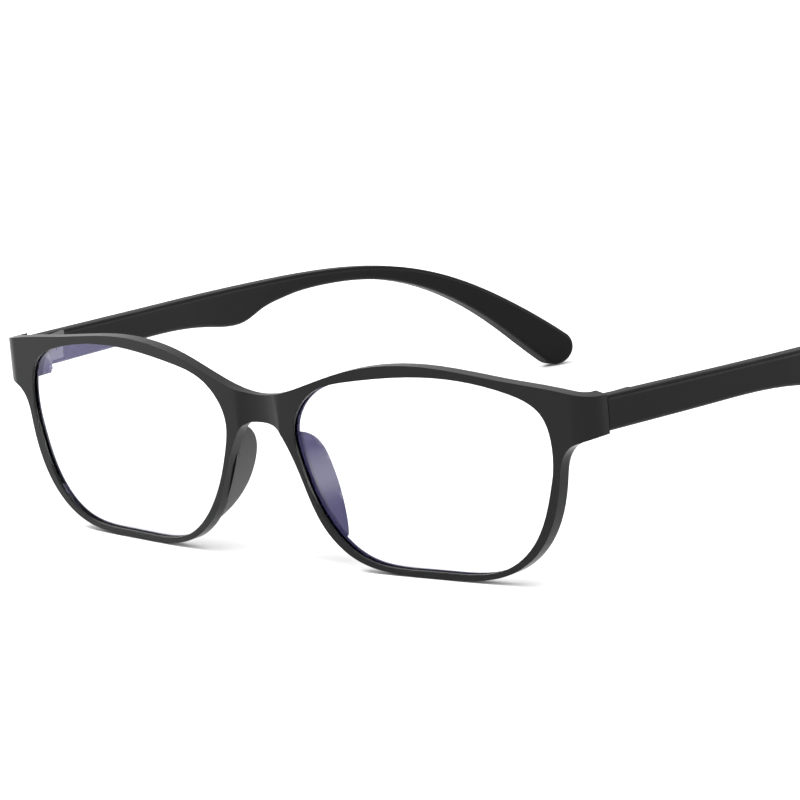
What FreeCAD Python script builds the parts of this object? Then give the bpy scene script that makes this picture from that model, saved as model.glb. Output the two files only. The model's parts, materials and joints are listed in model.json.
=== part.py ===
"""Blue light glasses: a moulded front with two lenses and two folding temples.

Built about the middle of the nose bridge: +X is the wearer's left, -Y the way
the wearer looks, +Z up. The rims' undersides and the temple tips stand on Z = 0.
"""
import FreeCAD, Part
import math
import os
import Sketcher
from FreeCAD import Placement, Rotation, Vector

DOCUMENT = FreeCAD.newDocument("Glasses")

SIZES = (
    ("aperture_width", 53.2, "clear width of each rim"),
    ("aperture_height", 33.2, "clear height of each rim"),
    ("lens_gap", 15.8, "distance between the two apertures"),
    ("brow_width", 1.8, "rim face above the lens"),
    ("temporal_width", 1.5, "rim face at the outer side"),
    ("bottom_width", 1.1, "rim face below the lens"),
    ("nasal_width", 1.3, "rim face beside the nose"),
    ("rim_depth", 2.3, "rim from front to back"),
    ("flat_half", 2.0, "half of the flat middle of the front"),
    ("face_radius", 150.0, "plan radius of the front"),
    ("wrap_angle", 6.0, "plan angle where the rims end"),
    ("shoulder_run", 47.65, "straight stretch before the corner"),
    ("corner_radius", 4.5, "plan radius of the corner"),
    ("corner_run", 0.9, "straight stretch between corner and joint"),
    ("bridge_height", 4.8, "bridge from underside to top at the middle"),
    ("bridge_under", 24.2, "height of the bridge's underside"),
    ("bridge_recess", 0.8, "how far the bridge lies behind the rims"),
    ("bridge_scoop", 16.0, "radius of the hollow in the bridge's front"),
    ("end_top", 32.25, "top of the endpiece at the joint"),
    ("end_height", 6.1, "endpiece height at the joint"),
    ("block_width", 8.6, "endpiece block across, behind the rim"),
    ("foot_length", 7.0, "flat under each rim"),
    ("lens_thickness", 1.2, "lens"),
    ("lens_setback", 0.6, "lens behind the rim's face"),
    ("lens_lip", 0.8, "how far the lens runs into its groove"),
    ("lens_clearance", 0.05, "all round the lens in its groove"),
    ("pad_thickness", 1.8, "nose pad wall"),
    ("pad_reach", 4.9, "nose pad behind the rim"),
    ("pad_flare", 0.03, "sideways lean of the nose pad for each mm back"),
    ("temple_thickness", 3.4, "temple from outside to inside"),
    ("temple_length", 131.4, "hinge axis to the rear of the tip"),
    ("straight_length", 40.0, "temple before it curves in"),
    ("temple_bow", 205.0, "plan radius of the temple's outside"),
    ("temple_splay", 4.0, "temple's outward angle at the joint"),
    ("temple_round", 0.85, "rounding of the temple's long edges"),
    ("tip_radius", 3.3, "round end of the temple"),
    ("ear_drop", 25.5, "height of the temple's underside before the ear bend"),
    ("joint_gap", 0.12, "between the butting ends of front and temple"),
    ("hinge_inset", 1.3, "hinge axis to the temple's inner face"),
    ("hinge_setback", 0.4, "hinge axis behind the joint plane"),
    ("hinge_height", 4.8, "three knuckles and two washers"),
    ("knuckle_radius", 1.35, "hinge knuckle"),
    ("centre_knuckle", 1.5, "height of the temple's knuckle"),
    ("washer_thickness", 0.2, "nylon washer"),
    ("axial_gap", 0.03, "running gap at each side of a washer"),
    ("pivot_radius", 0.6, "hinge screw shank"),
    ("pivot_gap", 0.03, "radial running gap of the hinge screw"),
    ("pivot_head_radius", 1.1, "hinge screw head"),
    ("pivot_head_height", 0.4, "hinge screw head"),
    ("leaf_thickness", 0.8, "hinge leaf"),
    ("front_leaf_width", 4.1, "front leaf, axis to its far edge"),
    ("temple_leaf_length", 8.2, "temple leaf, axis to its far edge"),
    ("leaf_gap", 0.04, "round a leaf in its recess"),
    ("sweep_gap", 0.2, "round the knuckles, for the turning parts"),
    ("rivet_radius", 0.5, "leaf screw shank"),
    ("rivet_head_radius", 0.8, "leaf screw head"),
    ("rivet_head_height", 0.4, "leaf screw head"),
    ("rivet_length", 2.4, "leaf screw under its head"),
    ("rivet_gap", 0.03, "round a leaf screw"),
    ("front_rivet_offset", 2.85, "front leaf screws from the axis"),
    ("front_rivet_pitch", 2.7, "front leaf screws, upper to lower"),
    ("temple_rivet_offset", 3.6, "first temple leaf screw from the axis"),
    ("temple_rivet_pitch", 2.9, "temple leaf screws, first to second"),
    ("slot_width", 0.25, "driver slot"),
    ("slot_depth", 0.2, "driver slot"),
)

SHEET = DOCUMENT.addObject("Spreadsheet::Sheet", "Sizes")
for row, (alias, value, note) in enumerate(SIZES, start=1):
    SHEET.set(f"A{row}", note)
    SHEET.set(f"B{row}", str(value))
    SHEET.setAlias(f"B{row}", alias)
DOCUMENT.recompute()


def size(alias):
    return float(SHEET.get(alias))


# ---------------------------------------------------------------- plan of the front

def plan_points(depth):
    """Corners of the front's plan curve, moved back by depth, from the middle outwards."""
    wrap = math.radians(size("wrap_angle"))
    turn = math.radians(90 - size("temple_splay"))
    radius = size("face_radius")
    start = Vector(0, depth, 0)
    flat_end = Vector(size("flat_half"), depth, 0)
    centre = Vector(size("flat_half"), radius, 0)

    def on_face(angle):
        reach = radius - depth
        return centre + Vector(reach * math.sin(angle), -reach * math.cos(angle), 0)

    ahead = Vector(math.cos(wrap), math.sin(wrap), 0)
    inwards = Vector(-math.sin(wrap), math.cos(wrap), 0)
    face_mid = on_face(wrap / 2)
    face_end = on_face(wrap)
    shoulder = face_end + ahead * size("shoulder_run")
    corner = shoulder + inwards * (size("corner_radius") - depth)

    def on_corner(angle):
        reach = size("corner_radius") - depth
        return corner + Vector(reach * math.sin(angle), -reach * math.cos(angle), 0)

    corner_mid = on_corner((wrap + turn) / 2)
    corner_end = on_corner(turn)
    return start, flat_end, face_mid, face_end, shoulder, corner_mid, corner_end


def plan_edges(depth, last):
    """The plan curve as edges: flat, face arc, shoulder, corner, run to the point last."""
    start, flat_end, face_mid, face_end, shoulder, corner_mid, corner_end = plan_points(depth)
    return [
        Part.LineSegment(start, flat_end).toShape(),
        Part.Arc(flat_end, face_mid, face_end).toShape(),
        Part.LineSegment(face_end, shoulder).toShape(),
        Part.Arc(shoulder, corner_mid, corner_end).toShape(),
        Part.LineSegment(corner_end, last).toShape(),
    ]


CORNER_END = plan_points(0)[-1]
JOINT_Y = CORNER_END.y + size("corner_run")
SPLAY = math.radians(size("temple_splay"))
JOINT_X = CORNER_END.x + size("corner_run") * math.tan(SPLAY)
AXIS_REACH = size("hinge_inset") + size("temple_thickness")
AXIS_Y = JOINT_Y + size("hinge_setback")
AXIS_X = JOINT_X - AXIS_REACH / math.cos(SPLAY) + size("hinge_setback") * math.tan(SPLAY)
AXIS_Z = size("end_top") - size("end_height") / 2
AXIS = Vector(AXIS_X, AXIS_Y, AXIS_Z)
TALL = 60.0


def slab(front_depth, back_depth):
    """The right half of a curved sheet between two depths, as tall as the front."""
    front_last = Vector(JOINT_X, JOINT_Y, 0)
    lean = math.tan(SPLAY)
    back_end = plan_points(back_depth)[-1]
    back_last = Vector(back_end.x + (JOINT_Y - back_end.y) * lean, JOINT_Y, 0)
    front = plan_edges(front_depth, front_last) if front_depth == 0 else None
    if front is None:
        front_end = plan_points(front_depth)[-1]
        front_last = Vector(front_end.x + (JOINT_Y - front_end.y) * lean, JOINT_Y, 0)
        front = plan_edges(front_depth, front_last)
    back = plan_edges(back_depth, back_last)
    ends = [
        Part.LineSegment(front_last, back_last).toShape(),
        Part.LineSegment(Vector(0, front_depth, 0), Vector(0, back_depth, 0)).toShape(),
    ]
    wire = Part.Wire(Part.__sortEdges__(front + back + ends))
    return Part.Face(wire).extrude(Vector(0, 0, TALL))


# ---------------------------------------------------------------- outlines seen from the front

# The aperture's shape, as shares of its half width and half height from its middle:
# outer side, over the crown to the nose, and back along the bottom.
APERTURE_SHAPE = (
    (0.981, 0.042), (1, 0.355), (0.944, 0.681), (0.658, 0.907),
    (0.056, 1), (-0.526, 0.904), (-0.835, 0.747), (-0.996, 0.38),
    (-0.968, 0.054), (-0.789, -0.56), (-0.564, -0.886), (0.02, -1),
    (0.635, -0.865), (0.826, -0.585),
)
OUTER_SIDE, OUTER_UPPER, OUTER_CORNER, CROWN_OUTER, CROWN, CROWN_INNER, BROW_CORNER = range(7)
NASAL_UPPER, NASAL, NASAL_LOWER, BOTTOM_INNER, BOTTOM, BOTTOM_OUTER, OUTER_LOWER = range(7, 14)


def aperture_curve(grow):
    """The closed aperture curve, grown outwards by grow; also its points and normals."""
    half_wide = size("aperture_width") / 2
    half_high = size("aperture_height") / 2
    middle = Vector(size("lens_gap") / 2 + half_wide, 0, size("bottom_width") + half_high)
    points = [middle + Vector(u * half_wide, 0, v * half_high) for u, v in APERTURE_SHAPE]
    curve = Part.BSplineCurve()
    curve.interpolate(Points=points, PeriodicFlag=True)
    normals = []
    for point in points:
        along = curve.tangent(curve.parameter(point))[0]
        normals.append(Vector(along.z, 0, -along.x))
    grown_points = [point + normal * grow for point, normal in zip(points, normals)]
    grown = Part.BSplineCurve()
    grown.interpolate(Points=grown_points, PeriodicFlag=True)
    return grown, points, normals


def aperture_prism(grow):
    """A block through the front with the aperture's outline."""
    wire = Part.Wire([aperture_curve(grow)[0].toShape()])
    face = Part.Face(wire)
    face.translate(Vector(0, -5, 0))
    return face.extrude(Vector(0, 40, 0))


def spline(points, first_tangent, last_tangent):
    """A smooth curve through points that starts and ends along the two given directions."""
    curve = Part.BSplineCurve()
    first = points[0].distanceToPoint(points[1])
    last = points[-1].distanceToPoint(points[-2])
    total = sum(a.distanceToPoint(b) for a, b in zip(points, points[1:]))
    places = [0.0]
    for a, b in zip(points, points[1:]):
        places.append(places[-1] + a.distanceToPoint(b) / total)
    first_tangent = Vector(first_tangent).normalize() * total
    last_tangent = Vector(last_tangent).normalize() * total
    curve.interpolate(Points=points, Parameters=places, InitialTangent=first_tangent,
                      FinalTangent=last_tangent, Scale=False)
    return curve.toShape()


def front_outline():
    """The right half of the front seen from the front, as a closed wire at Y = 0."""
    points, normals = aperture_curve(0)[1:]

    def outside(index, width):
        return points[index] + normals[index] * size(width)

    end_x = JOINT_X + 2.0
    fall = math.tan(math.radians(11))
    end_top = Vector(end_x, 0, size("end_top") - 2.0 * fall)
    end_bottom = Vector(end_x, 0, size("end_top") - size("end_height") + 2.0 * 0.15)
    bridge_top = Vector(0, 0, size("bridge_under") + size("bridge_height"))
    bridge_low = Vector(0, 0, size("bridge_under"))
    foot_middle = points[BOTTOM].x
    half_foot = size("foot_length") / 2
    foot_outer = Vector(foot_middle + half_foot, 0, 0)
    foot_inner = Vector(foot_middle - half_foot, 0, 0)
    side = outside(OUTER_SIDE, "temporal_width")
    under_end = Vector(side.x + 3.8, 0, end_bottom.z - (end_x - side.x - 3.8) * 0.32)
    under_turn = Vector(side.x + 1.2, 0, under_end.z - 2.2)
    nose = outside(NASAL, "nasal_width")
    arch_low = Vector(nose.x * 0.78, 0, size("bridge_under") - 3.0)
    arch_turn = Vector(nose.x * 0.55, 0, size("bridge_under") - 0.85)

    top = spline(
        [bridge_top, outside(BROW_CORNER, "brow_width"), outside(CROWN_INNER, "brow_width"),
         outside(CROWN, "brow_width"), outside(CROWN_OUTER, "brow_width"), end_top],
        Vector(1, 0, 0), Vector(1, 0, -fall * 1.5))
    outer = spline(
        [under_end, under_turn, side, outside(OUTER_LOWER, "temporal_width"),
         outside(BOTTOM_OUTER, "bottom_width"), foot_outer],
        Vector(-1, 0, -0.32), Vector(-1, 0, 0))
    nasal = spline(
        [foot_inner, outside(BOTTOM_INNER, "bottom_width"), outside(NASAL_LOWER, "nasal_width"),
         nose, arch_low, arch_turn, bridge_low],
        Vector(-1, 0, 0), Vector(-1, 0, 0))
    straight = [
        Part.LineSegment(end_top, end_bottom).toShape(),
        Part.LineSegment(end_bottom, under_end).toShape(),
        Part.LineSegment(foot_outer, foot_inner).toShape(),
        Part.LineSegment(bridge_low, bridge_top).toShape(),
    ]
    return Part.Wire(Part.__sortEdges__([top, outer, nasal] + straight))


def front_half():
    """The right half of the front with its aperture, groove, endpiece and hinge seat."""
    face = Part.Face(front_outline())
    face.translate(Vector(0, -5, 0))
    silhouette = face.extrude(Vector(0, 40, 0))
    block_inner = JOINT_X - size("block_width")
    block_face = Part.Face(Part.makePolygon([
        Vector(block_inner, JOINT_Y, 0),
        Vector(JOINT_X - 1.0, JOINT_Y, 0),
        Vector(JOINT_X - 1.5, JOINT_Y - 3.0, 0),
        Vector(block_inner - 3.0, JOINT_Y - 4.6, 0),
        Vector(block_inner, JOINT_Y, 0),
    ]))
    block = block_face.extrude(Vector(0, 0, size("end_height")))
    block.translate(Vector(0, 0, size("end_top") - size("end_height")))
    solid = slab(0, size("rim_depth")).fuse(block).common(silhouette)
    solid = solid.cut(aperture_prism(0))
    clearance = size("lens_clearance")
    groove = aperture_prism(size("lens_lip") + clearance).common(slab(
        size("lens_setback") - clearance,
        size("lens_setback") + size("lens_thickness") + clearance))
    solid = solid.cut(groove)
    scoop_offset = size("bridge_scoop") - size("bridge_recess")
    scoop = Part.makeCylinder(size("bridge_scoop"), TALL, Vector(0, -scoop_offset, 0))
    solid = solid.cut(scoop)
    for tool in hinge_seat():
        solid = solid.cut(tool)
    return solid


def hinge_seat():
    """What is cut from the endpiece for the front leaf, the knuckles and the two screws."""
    half_high = size("hinge_height") / 2
    gap = size("leaf_gap")
    leaf = Part.makeBox(
        size("front_leaf_width") + gap,
        size("leaf_thickness") + gap + 2.0,
        size("hinge_height") + 2 * gap,
        AXIS + Vector(-size("front_leaf_width") - gap,
                      -size("hinge_setback") - size("leaf_thickness") - gap,
                      -half_high - gap))
    knuckles = Part.makeCylinder(
        size("knuckle_radius") + size("sweep_gap"), TALL,
        AXIS - Vector(0, 0, half_high + gap))
    tools = [leaf, knuckles]
    for base in front_rivet_places():
        tools.append(Part.makeCylinder(
            size("rivet_radius") + size("rivet_gap"),
            size("rivet_length") + size("rivet_head_height") + gap,
            base, Vector(0, -1, 0)))
    return tools


def front_rivet_places():
    """Where the front leaf's two screws sit: the middle of each head's outer face."""
    half_pitch = size("front_rivet_pitch") / 2
    face = Vector(-size("front_rivet_offset"), -size("hinge_setback"), 0)
    return [AXIS + face + Vector(0, 0, rise) for rise in (-half_pitch, half_pitch)]


def mirrored(shape):
    return shape.mirror(Vector(0, 0, 0), Vector(1, 0, 0))


# ---------------------------------------------------------------- lenses and nose pads

def lens_shape():
    """The lens for the wearer's left eye, seated in its groove."""
    blank = slab(size("lens_setback"), size("lens_setback") + size("lens_thickness"))
    return blank.common(aperture_prism(size("lens_lip")))


def pad_shape(front):
    """The nose pad beside the left lens: a wall that leans out as it runs back."""
    curve, points = aperture_curve(0)[:2]
    first = curve.parameter(points[NASAL_UPPER])
    last = (curve.parameter(points[NASAL_LOWER]) + curve.parameter(points[BOTTOM_INNER])) / 2
    nose_side = []
    lens_side = []
    steps = 4
    for step in range(steps + 1):
        at = first + (last - first) * step / steps
        along = curve.tangent(at)[0]
        out = Vector(along.z, 0, -along.x)
        nose_side.append(curve.value(at) + out * (size("nasal_width") - 0.05))
        lens_side.append(curve.value(at) + out * (size("nasal_width") - size("pad_thickness")))
    walls = []
    for side in (nose_side, lens_side):
        wall = Part.BSplineCurve()
        wall.interpolate(side)
        walls.append(wall.toShape())
    ends = [
        Part.LineSegment(nose_side[0], lens_side[0]).toShape(),
        Part.LineSegment(nose_side[-1], lens_side[-1]).toShape(),
    ]
    section = Part.Face(Part.Wire(Part.__sortEdges__(walls + ends)))
    reach = size("pad_reach") + 3.0
    section.translate(Vector(0, size("rim_depth") - 0.3, 0))
    wall = section.extrude(Vector(reach * size("pad_flare"), reach, 0))
    low = nose_side[-1].z + 0.5
    high = size("bridge_under") - 0.9
    back = size("rim_depth")
    rear = spline(
        [Vector(0, back - 1, low), Vector(0, back + size("pad_reach") * 0.82, low + 5.6),
         Vector(0, back + size("pad_reach"), low + 11.4),
         Vector(0, back + size("pad_reach") * 0.8, high - 3.0), Vector(0, back - 1, high)],
        Vector(0, 1, 0.35), Vector(0, -1, 0.1))
    profile = Part.Face(Part.Wire([
        rear, Part.LineSegment(Vector(0, back - 1, high), Vector(0, back - 1, low)).toShape()]))
    lens_room = slab(0, size("lens_setback") + size("lens_thickness") + size("lens_clearance"))
    pad = wall.common(profile.extrude(Vector(60, 0, 0))).cut(front).cut(lens_room)
    return max(pad.Solids, key=lambda solid: solid.Volume)


# ---------------------------------------------------------------- temples

def temple_shape(side):
    """A temple about its hinge axis, along +Y; side is 1 for the left one, -1 for the right."""
    inner = size("hinge_inset")
    outer = inner + size("temple_thickness")
    bend_start = size("straight_length")
    length = size("temple_length")
    bow = size("temple_bow")
    start = -4.0
    centre_x = outer - bow

    def on_bow(x_offset, angle):
        reach = bow - x_offset
        return Vector(centre_x + reach * math.cos(angle), bend_start + reach * math.sin(angle), 0)

    full = math.asin((length + 2.0 - bend_start) / (bow - size("temple_thickness")))
    plan = Part.Wire([
        Part.LineSegment(Vector(outer, start, 0), Vector(outer, bend_start, 0)).toShape(),
        Part.Arc(on_bow(0, 0), on_bow(0, full / 2), on_bow(0, full)).toShape(),
        Part.LineSegment(on_bow(0, full), on_bow(outer - inner, full)).toShape(),
        Part.Arc(on_bow(outer - inner, full), on_bow(outer - inner, full / 2),
                 on_bow(outer - inner, 0)).toShape(),
        Part.LineSegment(Vector(inner, bend_start, 0), Vector(inner, start, 0)).toShape(),
        Part.LineSegment(Vector(inner, start, 0), Vector(outer, start, 0)).toShape(),
    ])
    strip = Part.Face(plan).extrude(Vector(0, 0, TALL))
    strip.translate(Vector(0, 0, -10))
    profile = Part.Face(temple_profile(start))
    profile.translate(Vector(-bow / 2, 0, 0))
    solid = strip.common(profile.extrude(Vector(bow, 0, 0)))
    long_edges = [edge for edge in solid.Edges
                  if edge.BoundBox.YLength > 3.0 and edge.Length > 3.0]
    solid = solid.makeFillet(size("temple_round"), long_edges)
    solid.translate(Vector(0, 0, -AXIS_Z))
    for tool in temple_seat():
        solid = solid.cut(tool)
    if side < 0:
        solid = mirrored(solid)
    return solid


def temple_profile(start):
    """The temple seen from the side: its long upper edge, round tip and underside."""
    top = size("end_top")
    low = top - size("end_height")
    share = size("temple_length") / 131.4
    tip = size("tip_radius")
    dip = math.radians(42.5)
    centre = Vector(0, size("temple_length") - tip, tip)
    along = Vector(0, math.cos(dip), -math.sin(dip))
    across = Vector(0, math.sin(dip), math.cos(dip))
    tip_top = centre + across * tip
    tip_end = centre + along * tip
    tip_low = centre - across * tip
    drop = size("ear_drop")

    def at(distance, height):
        return Vector(0, distance * share, height)

    upper = spline(
        [Vector(0, start, top), at(31, top - 1.7), at(65, top - 3.2), at(84, drop + 2.25),
         at(96.6, drop), at(109.4, drop - 4.9), at(120.9, drop - 12.1), tip_top],
        Vector(0, 1, -0.05), along)
    under = spline(
        [tip_low, at(116.1, drop - 15.1), at(103.5, drop - 6.1), at(90.4, drop - 1.35),
         at(77.5, drop), at(69, drop - 0.35)],
        along * -1, Vector(0, -1, -0.14))
    belly = spline(
        [at(69, drop - 0.35), at(62.6, low - 2.1), at(58.3, low - 3.55), at(48, low - 2.65),
         at(24, low - 0.8), Vector(0, start, low)],
        Vector(0, -1, -0.14), Vector(0, -1, 0.02))
    return Part.Wire([
        upper, Part.Arc(tip_top, tip_end, tip_low).toShape(), under, belly,
        Part.LineSegment(Vector(0, start, low), Vector(0, start, top)).toShape()])


def temple_seat():
    """What is cut from the left temple: its butt end, leaf recess, sweep and screw holes."""
    half_high = size("hinge_height") / 2
    gap = size("leaf_gap")
    inner = size("hinge_inset")
    butt = Part.makeBox(40, 20, TALL, Vector(-20, -20, -TALL / 2))
    butt.rotate(Vector(0, 0, 0), Vector(0, 0, 1), size("temple_splay"))
    setback = -size("hinge_setback") + size("joint_gap")
    butt.translate(Vector(-setback * math.sin(-SPLAY), setback * math.cos(SPLAY), 0))
    recess = Part.makeBox(
        2.0 + size("leaf_thickness") + gap, size("temple_leaf_length") + gap + 4.0,
        size("hinge_height") + 2 * gap, Vector(inner - 2.0, -4.0, -half_high - gap))
    sweep = Part.makeCylinder(
        size("knuckle_radius") + size("sweep_gap") + 0.05, size("hinge_height") + 2 * gap,
        Vector(0, 0, -half_high - gap))
    tools = [butt, recess, sweep]
    for base in temple_rivet_places():
        tools.append(Part.makeCylinder(
            size("rivet_radius") + size("rivet_gap"),
            size("rivet_length") + size("rivet_head_height") + gap,
            base, Vector(1, 0, 0)))
    return tools


def temple_rivet_places():
    """Where the temple leaf's two screws sit, about the hinge axis of the left temple."""
    first = size("temple_rivet_offset")
    places = (first, first + size("temple_rivet_pitch"))
    return [Vector(size("hinge_inset"), place, 0) for place in places]


# ---------------------------------------------------------------- screws and washers

def leaf_screw(base, direction):
    """A small slotted screw whose head's outer face is at base; direction runs to its point."""
    head = Part.makeCylinder(size("rivet_head_radius"), size("rivet_head_height"), base, direction)
    shank_base = base + direction * size("rivet_head_height")
    shank = Part.makeCylinder(size("rivet_radius"), size("rivet_length"), shank_base, direction)
    slot = Part.makeBox(
        size("slot_width"), 2 * size("slot_depth"), 3 * size("rivet_head_radius"),
        Vector(-size("slot_width") / 2, -size("slot_depth"), -1.5 * size("rivet_head_radius")))
    slot.Placement = Placement(base, Rotation(Vector(0, 1, 0), direction))
    return head.fuse(shank).removeSplitter().cut(slot)


def washers_shape():
    """The two nylon washers, above and below the temple's knuckle, about the hinge axis."""
    rise = size("centre_knuckle") / 2 + size("axial_gap")
    rings = []
    for base_z in (rise, -rise - size("washer_thickness")):
        base = Vector(0, 0, base_z)
        disc = Part.makeCylinder(size("knuckle_radius") - 0.05, size("washer_thickness"), base)
        hole = Part.makeCylinder(
            size("pivot_radius") + size("pivot_gap"), size("washer_thickness"), base)
        rings.append(disc.cut(hole))
    return Part.makeCompound(rings)


# ---------------------------------------------------------------- hinge leaves and pivot screw

def new_sketch(body, name, role):
    """A sketch on one of its own body's origin planes."""
    planes = [item for item in body.Origin.OriginFeatures if item.Role == role]
    sketch = body.newObject("Sketcher::SketchObject", name)
    sketch.AttachmentSupport = [(planes[0], "")]
    sketch.MapMode = "FlatFace"
    return sketch


def bind(sketch, kind, first, first_point, second, second_point, expression):
    """Add a distance constraint that follows an expression in the sheet's names."""
    value = sketch.evalExpression(expression)
    value = float(getattr(value, "Value", value))
    index = sketch.addConstraint(
        Sketcher.Constraint(kind, first, first_point, second, second_point, value))
    sketch.setExpression(f"Constraints[{index}]", expression)


def add_rectangle(sketch, left, right, low, high):
    """A rectangle between four expressions, measured from the sketch's origin."""
    numbers = []
    for expression in (left, right, low, high):
        value = sketch.evalExpression(expression)
        numbers.append(float(getattr(value, "Value", value)))
    x0, x1, y0, y1 = numbers
    corners = (Vector(x0, y0, 0), Vector(x1, y0, 0), Vector(x1, y1, 0), Vector(x0, y1, 0))
    first = sketch.GeometryCount
    for index in range(4):
        sketch.addGeometry(Part.LineSegment(corners[index], corners[(index + 1) % 4]), False)
    for index in range(4):
        following = first + (index + 1) % 4
        sketch.addConstraint(Sketcher.Constraint("Coincident", first + index, 2, following, 1))
    for index, kind in enumerate(("Horizontal", "Vertical", "Horizontal", "Vertical")):
        sketch.addConstraint(Sketcher.Constraint(kind, first + index))
    bind(sketch, "DistanceX", -1, 1, first, 1, left)
    bind(sketch, "DistanceX", -1, 1, first + 1, 1, right)
    bind(sketch, "DistanceY", -1, 1, first, 1, low)
    bind(sketch, "DistanceY", -1, 1, first + 2, 1, high)


def add_circle(sketch, radius, across="0", up="0"):
    """A circle whose centre and radius are expressions."""
    values = []
    for expression in (across, up, radius):
        value = sketch.evalExpression(expression)
        values.append(float(getattr(value, "Value", value)))
    centre = Vector(values[0], values[1], 0)
    index = sketch.addGeometry(Part.Circle(centre, Vector(0, 0, 1), values[2]), False)
    if across == "0" and up == "0":
        sketch.addConstraint(Sketcher.Constraint("Coincident", index, 3, -1, 1))
    else:
        bind(sketch, "DistanceX", -1, 1, index, 3, across)
        bind(sketch, "DistanceY", -1, 1, index, 3, up)
    constraint = sketch.addConstraint(Sketcher.Constraint("Radius", index, values[2]))
    sketch.setExpression(f"Constraints[{constraint}]", radius)


def add_feature(body, kind, name, sketch, length, midplane):
    """A pad or pocket of a sketch, as long as the expression says."""
    feature = body.newObject(f"PartDesign::{kind}", name)
    feature.Profile = sketch
    feature.Midplane = midplane
    feature.setExpression("Length", length)
    sketch.Visibility = False
    DOCUMENT.recompute()
    return feature


def pocket_both_ways(body, name, sketch, length):
    """A pocket half to each side of its sketch; its volume is checked."""
    before = body.Shape.Volume
    feature = add_feature(body, "Pocket", name, sketch, length, True)
    if not body.Shape.Volume < before - 1e-4:
        raise RuntimeError(f"{name} cut nothing")
    return feature


def front_leaf(label):
    """The leaf that sits in the endpiece, with the upper and lower knuckles."""
    body = DOCUMENT.addObject("PartDesign::Body", label)
    plate = new_sketch(body, f"{label}_plate_sketch", "XY_Plane")
    add_rectangle(plate, "-Sizes.front_leaf_width", "0",
                  "-Sizes.hinge_setback - Sizes.leaf_thickness", "-Sizes.hinge_setback")
    add_feature(body, "Pad", f"{label}_plate", plate, "Sizes.hinge_height", True)
    barrel = new_sketch(body, f"{label}_barrel_sketch", "XY_Plane")
    add_circle(barrel, "Sizes.knuckle_radius")
    add_feature(body, "Pad", f"{label}_barrel", barrel, "Sizes.hinge_height", True)
    gate = new_sketch(body, f"{label}_gate_sketch", "XY_Plane")
    add_circle(gate, "Sizes.knuckle_radius + Sizes.sweep_gap")
    pocket_both_ways(
        body, f"{label}_gate", gate,
        "Sizes.centre_knuckle + 2 * Sizes.washer_thickness + 4 * Sizes.axial_gap")
    bore = new_sketch(body, f"{label}_bore_sketch", "XY_Plane")
    add_circle(bore, "Sizes.pivot_radius + Sizes.pivot_gap")
    pocket_both_ways(body, f"{label}_bore", bore, "2 * Sizes.hinge_height")
    holes = new_sketch(body, f"{label}_holes_sketch", "XZ_Plane")
    seats = new_sketch(body, f"{label}_seats_sketch", "XZ_Plane")
    for rise in ("Sizes.front_rivet_pitch / 2", "-Sizes.front_rivet_pitch / 2"):
        add_circle(holes, "Sizes.rivet_radius + Sizes.rivet_gap",
                   "-Sizes.front_rivet_offset", rise)
        add_circle(seats, "Sizes.rivet_head_radius + Sizes.rivet_gap",
                   "-Sizes.front_rivet_offset", rise)
    pocket_both_ways(body, f"{label}_holes", holes, "10")
    pocket_both_ways(body, f"{label}_seats", seats,
                     "2 * Sizes.hinge_setback + 2 * Sizes.rivet_head_height")
    return body


def temple_leaf(label):
    """The leaf that sits in the temple's inner face, with the middle knuckle."""
    body = DOCUMENT.addObject("PartDesign::Body", label)
    plate = new_sketch(body, f"{label}_plate_sketch", "XY_Plane")
    add_rectangle(plate, "Sizes.hinge_inset", "Sizes.hinge_inset + Sizes.leaf_thickness",
                  "Sizes.leaf_gap", "Sizes.temple_leaf_length")
    add_feature(body, "Pad", f"{label}_plate", plate, "Sizes.hinge_height", True)
    sweep = new_sketch(body, f"{label}_sweep_sketch", "XY_Plane")
    add_circle(sweep, "Sizes.knuckle_radius + Sizes.sweep_gap")
    pocket_both_ways(body, f"{label}_sweep", sweep, "2 * Sizes.hinge_height")
    web = new_sketch(body, f"{label}_web_sketch", "XY_Plane")
    add_rectangle(web, "0", "Sizes.hinge_inset + Sizes.leaf_thickness", "0",
                  "Sizes.knuckle_radius + 2 * Sizes.sweep_gap")
    add_feature(body, "Pad", f"{label}_web", web, "Sizes.centre_knuckle", True)
    barrel = new_sketch(body, f"{label}_barrel_sketch", "XY_Plane")
    add_circle(barrel, "Sizes.knuckle_radius")
    add_feature(body, "Pad", f"{label}_barrel", barrel, "Sizes.centre_knuckle", True)
    bore = new_sketch(body, f"{label}_bore_sketch", "XY_Plane")
    add_circle(bore, "Sizes.pivot_radius + Sizes.pivot_gap")
    pocket_both_ways(body, f"{label}_bore", bore, "2 * Sizes.hinge_height")
    holes = new_sketch(body, f"{label}_holes_sketch", "YZ_Plane")
    seats = new_sketch(body, f"{label}_seats_sketch", "YZ_Plane")
    for place in ("Sizes.temple_rivet_offset",
                  "Sizes.temple_rivet_offset + Sizes.temple_rivet_pitch"):
        add_circle(holes, "Sizes.rivet_radius + Sizes.rivet_gap", place, "0.0")
        add_circle(seats, "Sizes.rivet_head_radius + Sizes.rivet_gap", place, "0.0")
    pocket_both_ways(body, f"{label}_holes", holes, "10")
    pocket_both_ways(body, f"{label}_seats", seats,
                     "2 * Sizes.hinge_inset + 2 * Sizes.rivet_head_height")
    return body


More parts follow.
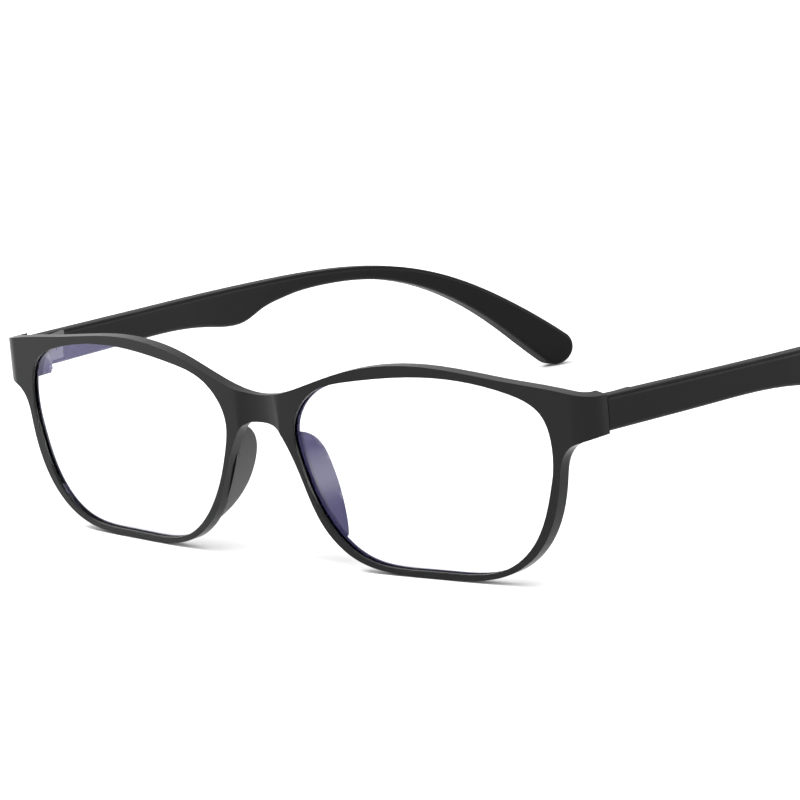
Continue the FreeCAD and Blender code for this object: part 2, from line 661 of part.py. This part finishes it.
def pivot_screw(label):
    """The hinge screw: a head on the upper knuckle and a shank through all three."""
    body = DOCUMENT.addObject("PartDesign::Body", label)
    shank = new_sketch(body, f"{label}_shank_sketch", "XY_Plane")
    add_circle(shank, "Sizes.pivot_radius")
    add_feature(body, "Pad", f"{label}_shank", shank, "Sizes.hinge_height", True)
    head = new_sketch(body, f"{label}_head_sketch", "XY_Plane")
    head.setExpression("AttachmentOffset.Base.z", "Sizes.hinge_height / 2")
    add_circle(head, "Sizes.pivot_head_radius")
    add_feature(body, "Pad", f"{label}_head", head, "Sizes.pivot_head_height", False)
    slot = new_sketch(body, f"{label}_slot_sketch", "XY_Plane")
    slot.setExpression("AttachmentOffset.Base.z", "Sizes.hinge_height / 2 + Sizes.pivot_head_height")
    add_rectangle(slot, "-Sizes.slot_width / 2", "Sizes.slot_width / 2",
                  "-2 * Sizes.pivot_head_radius", "2 * Sizes.pivot_head_radius")
    pocket_both_ways(body, f"{label}_slot", slot, "2 * Sizes.slot_depth")
    return body


# ---------------------------------------------------------------- the assembly

SUBPARTS = []


def keep_shape(label, shape, placement=None):
    """Keep a shape as a sub-part of its own."""
    part = DOCUMENT.addObject("Part::Feature", label)
    part.Shape = shape
    if placement is not None:
        part.Placement = placement
    SUBPARTS.append(part)
    return part


def keep_body(body, placement):
    body.Placement = placement
    SUBPARTS.append(body)
    return body


HALF = front_half()
FRONT = HALF.fuse(mirrored(HALF)).removeSplitter()
LENS = lens_shape()
PAD = pad_shape(FRONT)
keep_shape("front_frame", FRONT.Solids[0])

for name, side in (("left", 1), ("right", -1)):
    axis = Vector(side * AXIS.x, AXIS.y, AXIS.z)
    splay = Rotation(Vector(0, 0, 1), -side * size("temple_splay"))
    turned = Rotation() if side > 0 else Rotation(Vector(0, 1, 0), 180)
    upright = Placement(axis, Rotation())
    keep_shape(f"lens_{name}", LENS if side > 0 else mirrored(LENS))
    keep_shape(f"nose_pad_{name}", PAD if side > 0 else mirrored(PAD))
    keep_shape(f"temple_{name}", temple_shape(side), Placement(axis, splay))
    keep_body(front_leaf(f"hinge_front_leaf_{name}"), Placement(axis, turned))
    keep_body(temple_leaf(f"hinge_temple_leaf_{name}"), Placement(axis, splay.multiply(turned)))
    keep_body(pivot_screw(f"hinge_screw_{name}"), upright)
    keep_shape(f"hinge_washers_{name}", washers_shape(), upright)
    screws = Part.makeCompound([leaf_screw(base, Vector(0, -1, 0)) for base in front_rivet_places()])
    keep_shape(f"front_leaf_screws_{name}", screws if side > 0 else mirrored(screws))
    screws = Part.makeCompound([leaf_screw(base, Vector(1, 0, 0)) for base in temple_rivet_places()])
    keep_shape(f"temple_leaf_screws_{name}", screws if side > 0 else mirrored(screws),
               Placement(axis, splay))

# The model's origin lies on the floor, midway between the front face and the tips.
rear = max(part.Shape.optimalBoundingBox().YMax for part in SUBPARTS)
for part in SUBPARTS:
    base = part.Placement.Base
    part.Placement = Placement(base - Vector(0, rear / 2, 0), part.Placement.Rotation)
DOCUMENT.recompute()

for item in DOCUMENT.Objects:
    if {"Invalid", "Error"} & set(item.State):
        raise RuntimeError(f"{item.Label} failed: {item.State}")
os.makedirs("parts", exist_ok=True)
for part in SUBPARTS:
    shape = part.Shape
    if shape.isNull() or not shape.isValid():
        raise RuntimeError(f"{part.Label} has no valid shape")
    shape.exportStep(f"parts/{part.Label}.step")
    print(part.Label, len(shape.Solids), round(shape.Volume, 2))
print("hinge axis", round(AXIS.x, 4), round(AXIS.y - rear / 2, 4), round(AXIS.z, 4))
print("depth", round(rear, 3))
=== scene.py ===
# %% [markdown]
# # Blue light glasses
# The solids of the glasses come from the imported model: a moulded front, two lenses, two nose
# pads, two temples and their steel hinges. This lesson gives the plastic and the lenses the finish
# of the real thing: soft moulded edges on black plastic and coated lenses. The small steel screws
# and hinge washers are coloured dark grey, which is painted shade for the inside of the hinges.

# %% Load the imported model
import bmesh
import bpy
import json
import math
from mathutils import Matrix, Vector


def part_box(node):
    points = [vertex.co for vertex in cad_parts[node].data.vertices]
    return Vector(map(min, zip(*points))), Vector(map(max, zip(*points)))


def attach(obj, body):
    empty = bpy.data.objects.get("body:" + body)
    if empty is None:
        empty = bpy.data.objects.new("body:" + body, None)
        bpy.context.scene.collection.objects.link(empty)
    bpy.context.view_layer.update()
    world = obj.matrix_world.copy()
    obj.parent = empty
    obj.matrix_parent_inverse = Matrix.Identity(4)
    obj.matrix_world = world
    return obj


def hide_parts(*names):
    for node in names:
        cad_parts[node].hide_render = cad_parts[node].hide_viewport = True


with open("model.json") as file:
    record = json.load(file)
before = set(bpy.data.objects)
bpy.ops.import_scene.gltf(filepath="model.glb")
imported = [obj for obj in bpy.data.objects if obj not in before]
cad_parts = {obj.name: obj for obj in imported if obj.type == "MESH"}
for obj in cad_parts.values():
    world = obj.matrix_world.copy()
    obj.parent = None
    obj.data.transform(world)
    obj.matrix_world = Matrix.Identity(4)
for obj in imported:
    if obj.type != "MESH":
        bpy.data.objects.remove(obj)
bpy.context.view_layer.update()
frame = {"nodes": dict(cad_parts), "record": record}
MM = 0.001
nodes = frame["nodes"]
body_of = {node: body for body, names in frame["record"]["behaviour"]["bodies"].items() for node in names}

# %% [markdown]
# ## The camera
# The glasses are looked at from their left, a little above, with a long lens, so that the far
# side is hardly smaller than the near one. A camera placed by two angles and a distance is
# easy to read and to change; its small roll comes from turning it about its own view line.

# %% Camera
AZIMUTH = math.radians(43.335)
ELEVATION = math.radians(12.228)
ROLL = math.radians(-5.248)
DISTANCE = 0.870
FOCAL = 230.42
SENSOR = 36.0
front_low, front_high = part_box("front_frame")
LENS_CENTRE_HEIGHT = 16.43 * MM
AIM = Vector((0.0, front_low.y, LENS_CENTRE_HEIGHT))
AIM_RIGHT = 23.366 * MM
AIM_UP = 11.519 * MM

backward = Vector((math.sin(AZIMUTH) * math.cos(ELEVATION),
                   -math.cos(AZIMUTH) * math.cos(ELEVATION),
                   math.sin(ELEVATION)))
level_right = (-backward).cross(Vector((0, 0, 1))).normalized()
level_up = level_right.cross(-backward)
right = math.cos(ROLL) * level_right + math.sin(ROLL) * level_up
up = -math.sin(ROLL) * level_right + math.cos(ROLL) * level_up
camera_data = bpy.data.cameras.new("camera")
camera_data.lens = FOCAL
camera_data.sensor_width = SENSOR
camera_data.clip_start = 0.01
camera = bpy.data.objects.new("camera", camera_data)
bpy.context.collection.objects.link(camera)
place = AIM + backward * DISTANCE + right * AIM_RIGHT + up * AIM_UP
turn = Matrix((right, up, backward)).transposed().to_4x4()
camera.matrix_world = Matrix.Translation(place) @ turn
bpy.context.scene.camera = camera
bpy.context.scene.view_settings.view_transform = "Standard"
print("camera at", [round(value, 4) for value in place])

# %% [markdown]
# ## Materials
# Moulded black plastic is never one flat black: the mould leaves a very fine texture, and
# handling leaves faint differences in gloss. Both are noise at two scales, made once as a node
# group and placed in each plastic with its own strengths.

# %% A shared node group for moulded plastic
def moulded_group():
    """Grain for a bump, a roughness that varies, and a tone between 0 and 1."""
    group = bpy.data.node_groups.new("moulded_surface", "ShaderNodeTree")
    face = group.interface
    for name, default in (("Grain Scale", 900.0), ("Roughness", 0.35), ("Roughness Spread", 0.08)):
        socket = face.new_socket(name, in_out="INPUT", socket_type="NodeSocketFloat")
        socket.default_value = default
    face.new_socket("Grain", in_out="OUTPUT", socket_type="NodeSocketFloat")
    face.new_socket("Roughness", in_out="OUTPUT", socket_type="NodeSocketFloat")
    face.new_socket("Tone", in_out="OUTPUT", socket_type="NodeSocketFloat")
    inputs = group.nodes.new("NodeGroupInput")
    outputs = group.nodes.new("NodeGroupOutput")
    where = group.nodes.new("ShaderNodeTexCoord")
    grain = group.nodes.new("ShaderNodeTexNoise")
    grain.inputs["Detail"].default_value = 3.0
    handling = group.nodes.new("ShaderNodeTexNoise")
    handling.inputs["Scale"].default_value = 55.0
    handling.inputs["Detail"].default_value = 4.0
    centred = group.nodes.new("ShaderNodeMath")
    centred.operation = "SUBTRACT"
    centred.inputs[1].default_value = 0.5
    spread = group.nodes.new("ShaderNodeMath")
    spread.operation = "MULTIPLY_ADD"
    link = group.links.new
    link(where.outputs["Object"], grain.inputs["Vector"])
    link(where.outputs["Object"], handling.inputs["Vector"])
    link(inputs.outputs["Grain Scale"], grain.inputs["Scale"])
    link(handling.outputs["Fac"], centred.inputs[0])
    link(centred.outputs[0], spread.inputs[0])
    link(inputs.outputs["Roughness Spread"], spread.inputs[1])
    link(inputs.outputs["Roughness"], spread.inputs[2])
    link(grain.outputs["Fac"], outputs.inputs["Grain"])
    link(spread.outputs[0], outputs.inputs["Roughness"])
    link(handling.outputs["Fac"], outputs.inputs["Tone"])
    return group


MOULDED = moulded_group()


def new_material(name):
    material = bpy.data.materials.new(name)
    material.use_nodes = True
    return material, material.node_tree, material.node_tree.nodes["Principled BSDF"]


GRAIN_DEPTH = 0.02 * MM


def plastic(name, dark, light, grain_scale, roughness, spread, bump, sheen):
    """Moulded plastic between two close greys, with grain in its bump and a weak or strong sheen."""
    material, tree, shader = new_material(name)
    surface = tree.nodes.new("ShaderNodeGroup")
    surface.node_tree = MOULDED
    surface.inputs["Grain Scale"].default_value = grain_scale
    surface.inputs["Roughness"].default_value = roughness
    surface.inputs["Roughness Spread"].default_value = spread
    tones = tree.nodes.new("ShaderNodeMix")
    tones.data_type = "RGBA"
    tones.inputs["A"].default_value = (*dark, 1)
    tones.inputs["B"].default_value = (*light, 1)
    shader.inputs["Specular IOR Level"].default_value = sheen
    bump_node = tree.nodes.new("ShaderNodeBump")
    bump_node.inputs["Distance"].default_value = GRAIN_DEPTH
    bump_node.inputs["Strength"].default_value = bump
    link = tree.links.new
    link(surface.outputs["Tone"], tones.inputs["Factor"])
    link(tones.outputs["Result"], shader.inputs["Base Color"])
    link(surface.outputs["Roughness"], shader.inputs["Roughness"])
    link(surface.outputs["Grain"], bump_node.inputs["Height"])
    link(bump_node.outputs["Normal"], shader.inputs["Normal"])
    return material


# %% [markdown]
# The front is polished a little more than the temples, which are matte. The steel is stamped, and
# its roughness changes along fine lines; its dark grey colour, like that of the nylon washers, is
# painted shade for the inside of the hinges. The lens is clear, and its coating sends back
# violet-blue light, which only shows where something dark is behind it.

# %% The finishes of this pair
FRONT_PLASTIC = plastic(
    "front_plastic", dark=(0.0028, 0.0028, 0.0032), light=(0.0045, 0.0045, 0.005),
    grain_scale=1400.0, roughness=0.25, spread=0.06, bump=0.12, sheen=0.16)
TEMPLE_PLASTIC = plastic(
    "temple_plastic", dark=(0.003, 0.003, 0.003), light=(0.005, 0.005, 0.005),
    grain_scale=1600.0, roughness=0.40, spread=0.08, bump=0.25, sheen=0.09)
PAD_PLASTIC = plastic(
    "pad_plastic", dark=(0.006, 0.006, 0.007), light=(0.009, 0.009, 0.010),
    grain_scale=1200.0, roughness=0.22, spread=0.05, bump=0.1, sheen=0.40)
# the washers' dark greys are painted shade for the inside of the hinges, not the nylon's own colour
NYLON_PAINTED_SHADE = plastic(
    "washer_nylon", dark=(0.020, 0.020, 0.020), light=(0.030, 0.030, 0.030),
    grain_scale=800.0, roughness=0.5, spread=0.1, bump=0.1, sheen=0.4)
# the steel's dark grey is painted shade for the inside of the hinges, not the steel's own colour
STEEL_PAINTED_SHADE_GREY = (0.10, 0.10, 0.105, 1)
LENS_GREY = (0.985, 0.985, 0.995, 1)
COATING_VIOLET = (0.30, 0.24, 1.0, 1)


def steel():
    """Steel whose gloss changes along fine upright lines, its colour darkened as painted shade."""
    material, tree, shader = new_material("hinge_steel")
    where = tree.nodes.new("ShaderNodeTexCoord")
    stretch = tree.nodes.new("ShaderNodeMapping")
    stretch.inputs["Scale"].default_value = (2500.0, 2500.0, 300.0)
    lines = tree.nodes.new("ShaderNodeTexNoise")
    lines.inputs["Scale"].default_value = 1.0
    lines.inputs["Detail"].default_value = 3.0
    rough = tree.nodes.new("ShaderNodeMapRange")
    rough.inputs["To Min"].default_value = 0.22
    rough.inputs["To Max"].default_value = 0.42
    link = tree.links.new
    link(where.outputs["Object"], stretch.inputs["Vector"])
    link(stretch.outputs["Vector"], lines.inputs["Vector"])
    link(lines.outputs["Fac"], rough.inputs["Value"])
    link(rough.outputs["Result"], shader.inputs["Roughness"])
    shader.inputs["Base Color"].default_value = STEEL_PAINTED_SHADE_GREY
    shader.inputs["Metallic"].default_value = 1.0
    return material


def coated_lens():
    """Clear lens whose reflections are tinted by its coating."""
    material, tree, shader = new_material("lens")
    shader.inputs["Base Color"].default_value = LENS_GREY
    shader.inputs["Roughness"].default_value = 0.0
    shader.inputs["IOR"].default_value = 1.5
    shader.inputs["Transmission Weight"].default_value = 1.0
    shader.inputs["Specular IOR Level"].default_value = 1.0
    shader.inputs["Specular Tint"].default_value = COATING_VIOLET
    return material


STEEL = steel()
LENS = coated_lens()

# %% [markdown]
# ## Moulded edges
# The solids have sharp edges, but nothing moulded has. A copy of each solid is merged, its flat
# triangles are joined into clean faces, and a bevel rounds every edge that turns sharply. The
# bevel is a modifier, so its width stays one named value for each piece.

# %% Rounded copies of the plastic pieces
FRONT_EDGE = 0.3 * MM
PAD_EDGE = 0.4 * MM
TEMPLE_EDGE = 0.15 * MM
MERGE_DISTANCE = 0.001 * MM
FLAT_ANGLE = math.radians(0.5)


def rounded_copy(node, width, segments=3, angle=32.0):
    """A merged copy of a CAD solid with its sharp edges rounded, standing for that solid."""
    source = nodes[node]
    mesh = bmesh.new()
    mesh.from_mesh(source.data)
    bmesh.ops.remove_doubles(mesh, verts=mesh.verts, dist=MERGE_DISTANCE)
    bmesh.ops.dissolve_limit(mesh, angle_limit=FLAT_ANGLE, verts=mesh.verts, edges=mesh.edges)
    data = bpy.data.meshes.new(f"{node}_moulded")
    mesh.to_mesh(data)
    mesh.free()
    data.shade_smooth()
    piece = bpy.data.objects.new(f"{node}_moulded", data)
    bpy.context.collection.objects.link(piece)
    bevel = piece.modifiers.new("edges", "BEVEL")
    bevel.width = width
    bevel.segments = segments
    bevel.limit_method = "ANGLE"
    bevel.angle_limit = math.radians(angle)
    bevel.use_clamp_overlap = True
    normals = piece.modifiers.new("normals", "WEIGHTED_NORMAL")
    normals.keep_sharp = True
    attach(piece, body_of[node])
    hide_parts(node)
    return piece


def give(piece, material):
    """The piece's one material, and its slot if it is a new piece."""
    piece.data.materials.clear()
    piece.data.materials.append(material)


front = rounded_copy("front_frame", FRONT_EDGE)
give(front, FRONT_PLASTIC)
for side in ("left", "right"):
    pad = rounded_copy(f"nose_pad_{side}", PAD_EDGE)
    give(pad, PAD_PLASTIC)
    temple = rounded_copy(f"temple_{side}", TEMPLE_EDGE, segments=2, angle=40.0)
    give(temple, TEMPLE_PLASTIC)
print("front has", len(front.data.polygons), "faces before its bevel")

# %% Finishes on the solids that keep their shape
for node, thing in nodes.items():
    if node.startswith("lens"):
        give(thing, LENS)
    # the washers and the steel get dark colours that are painted shade for the inside of the hinges
    elif "washers" in node:
        give(thing, NYLON_PAINTED_SHADE)
    elif "leaf" in node or "screw" in node:
        give(thing, STEEL)

# %% [markdown]
# ## The stage
# A pale floor and a large soft light from above keep the black plastic readable: what it shows
# is mostly the reflection of broad pale surfaces. The background is white to the camera.

# %% Floor
FLOOR_HALF = 12.0
FLOOR_DROP = 0.2 * MM
FLOOR_GREY = (0.97, 0.97, 0.97, 1)


def stage_material():
    """Plain pale paint without any gloss."""
    material, tree, shader = new_material("stage")
    tree.nodes.remove(shader)
    out = tree.nodes["Material Output"]
    diffuse = tree.nodes.new("ShaderNodeBsdfDiffuse")
    diffuse.inputs["Color"].default_value = FLOOR_GREY
    tree.links.new(diffuse.outputs[0], out.inputs["Surface"])
    return material


floor_mesh = bmesh.new()
bmesh.ops.create_grid(floor_mesh, x_segments=1, y_segments=1, size=FLOOR_HALF)
floor_data = bpy.data.meshes.new("floor")
floor_mesh.to_mesh(floor_data)
floor_mesh.free()
floor = bpy.data.objects.new("floor", floor_data)
bpy.context.collection.objects.link(floor)
floor.data.materials.append(stage_material())
floor.location.z = -FLOOR_DROP
print("floor made")

# %% World and lamps
WORLD_LIGHT = 0.85
WORLD_SEEN = 1.0
world = bpy.data.worlds.new("studio")
bpy.context.scene.world = world
world.use_nodes = True
tree = world.node_tree
background = tree.nodes["Background"]
path = tree.nodes.new("ShaderNodeLightPath")
seen = tree.nodes.new("ShaderNodeMath")
seen.operation = "MAXIMUM"
strength = tree.nodes.new("ShaderNodeMapRange")
strength.inputs["To Min"].default_value = WORLD_LIGHT
strength.inputs["To Max"].default_value = WORLD_SEEN
tree.links.new(path.outputs["Is Camera Ray"], seen.inputs[0])
tree.links.new(path.outputs["Is Transmission Ray"], seen.inputs[1])
tree.links.new(seen.outputs[0], strength.inputs["Value"])
tree.links.new(strength.outputs["Result"], background.inputs["Strength"])
background.inputs["Color"].default_value = (1, 1, 1, 1)


def soft_lamp(name, place, aim, width, power):
    """A square lamp of a given width in metres and power in watts, turned to its aim."""
    data = bpy.data.lights.new(name, "AREA")
    data.shape = "SQUARE"
    data.size = width
    data.energy = power
    lamp = bpy.data.objects.new(name, data)
    bpy.context.collection.objects.link(lamp)
    lamp.location = place
    lamp.rotation_euler = (Vector(aim) - Vector(place)).to_track_quat("-Z", "Y").to_euler()


soft_lamp("key", place=(0.2, -0.3, 0.9), aim=(0, 0, 0), width=0.8, power=6.0)
soft_lamp("brow", place=(-0.60, -0.19, 0.64), aim=(0, -0.07, 0.03), width=0.18, power=5.0)
soft_lamp("behind", place=(0.54, 0.63, 0.22), aim=(0, -0.07, 0.02), width=0.35, power=2.5)
